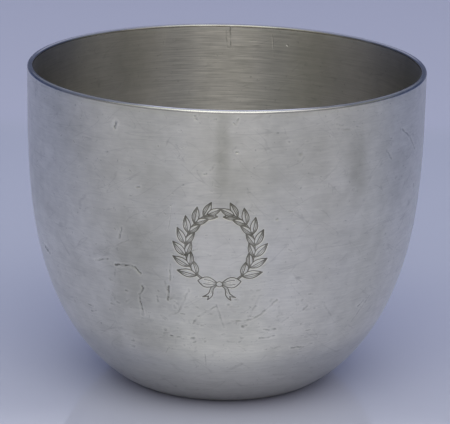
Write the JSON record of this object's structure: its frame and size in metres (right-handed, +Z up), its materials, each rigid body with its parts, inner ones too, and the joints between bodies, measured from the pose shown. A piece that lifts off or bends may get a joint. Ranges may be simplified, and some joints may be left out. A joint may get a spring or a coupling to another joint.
{
  "type": "jefferson cup",
  "caption": "Low round-bottomed pewter drinking cup with upright sides, a rounded lip and no handle, standing on a flat ring under its base.",
  "frame": {"origin": "middle of the foot, on the table", "axes": "+Z up along the axis of the cup, -Y towards the viewer of the picture"},
  "size_m": [0.0826, 0.0826, 0.0667],
  "materials": {
    "pewter": "satin brushed pewter with fine turning lines inside and wear scratches outside"
  },
  "bodies": {
    "root": {"cup_body": "pewter"}
  },
  "joints": []
}
